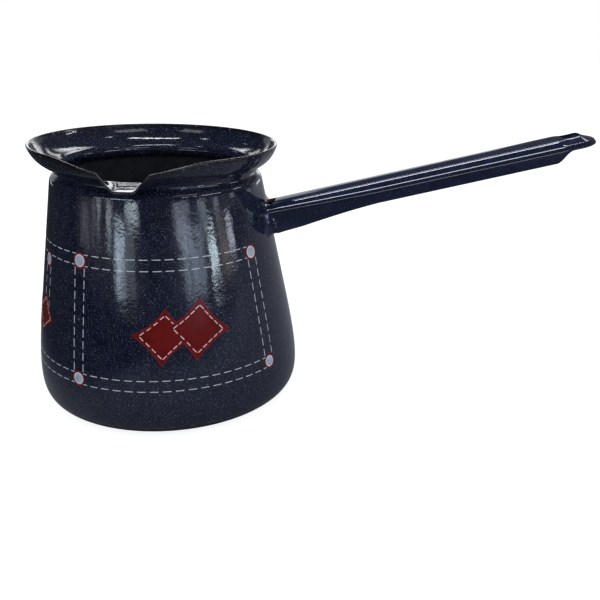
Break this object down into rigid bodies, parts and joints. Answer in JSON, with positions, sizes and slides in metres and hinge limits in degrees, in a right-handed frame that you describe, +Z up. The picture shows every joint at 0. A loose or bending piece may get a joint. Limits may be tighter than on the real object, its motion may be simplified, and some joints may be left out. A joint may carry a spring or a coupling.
{
  "type": "turkish coffee pot",
  "caption": "Dark blue enamelled stovetop coffee pot: wide base, tapered wall, flared collar with a pouring lip, and a long ridged side handle with a hang hole.",
  "frame": {"origin": "centre of the base, on the surface the pot stands on", "axes": "+Z up, +X along the handle away from the pot, pouring lip towards -Y"},
  "size_m": [0.2429, 0.1152, 0.1202],
  "materials": {
    "body_enamel": "gloss",
    "foot_enamel": "gloss",
    "handle_enamel": "gloss",
    "weld_front_enamel": "gloss",
    "weld_back_enamel": "gloss"
  },
  "bodies": {
    "root": {"pot_body": "body_enamel", "handle_foot": "foot_enamel", "handle": "handle_enamel", "handle_weld_front": "weld_front_enamel", "handle_weld_back": "weld_back_enamel"}
  },
  "joints": []
}
